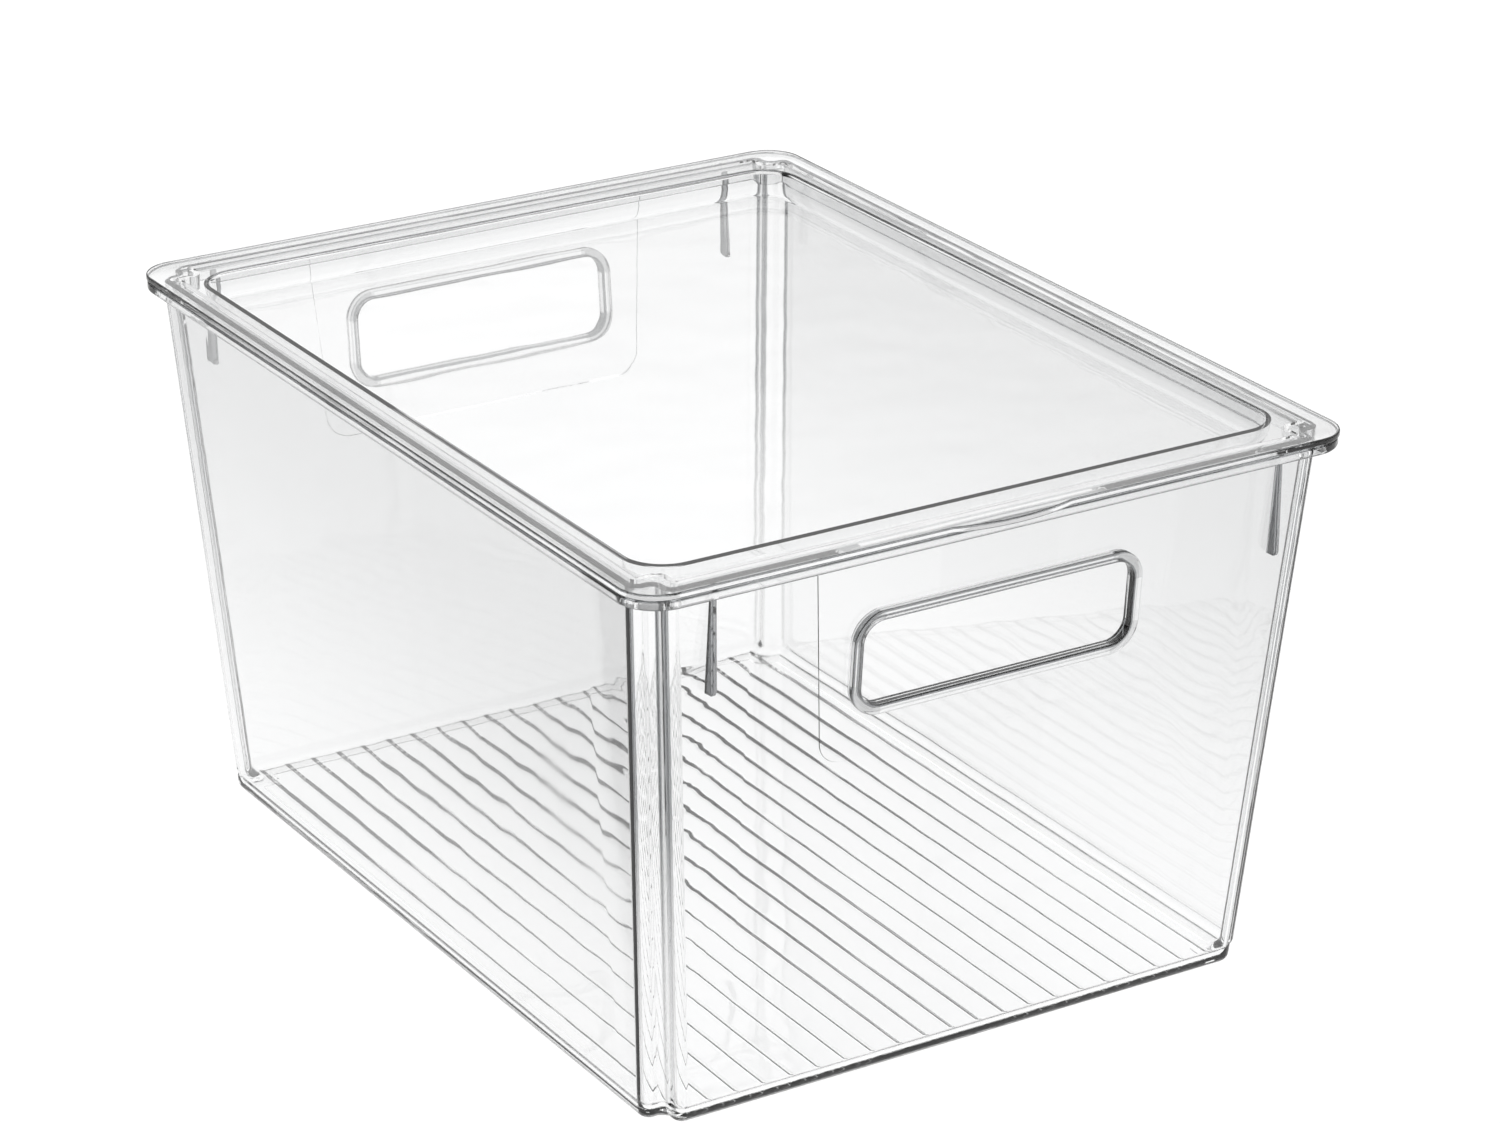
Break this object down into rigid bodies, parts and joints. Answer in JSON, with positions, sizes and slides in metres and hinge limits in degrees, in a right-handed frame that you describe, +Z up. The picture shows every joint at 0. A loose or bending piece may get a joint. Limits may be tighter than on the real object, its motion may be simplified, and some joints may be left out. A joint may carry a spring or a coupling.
{
  "type": "storage bin",
  "caption": "Clear tapered storage bin with grip slots, a ribbed floor and a lift-off lid with a sunken stacking tray",
  "frame": {"origin": "On the surface the bin stands on, under the middle of the closed bin's box, pull tab included", "axes": "+X across the width, +Y along the depth with the lid's pull tab on the -Y side, +Z up"},
  "size_m": [0.2414, 0.3204, 0.175],
  "materials": {
    "bin_plastic": "clear, polished",
    "lid_plastic": "clear, polished"
  },
  "bodies": {
    "bin": {"bin": "bin_plastic"},
    "lid": {"lid": "lid_plastic"}
  },
  "joints": [
    {"name": "lid_lift", "type": "slide", "parent": "bin", "child": "lid", "axis": [0, 0, 1], "range_m": [0, 0.05]}
  ]
}
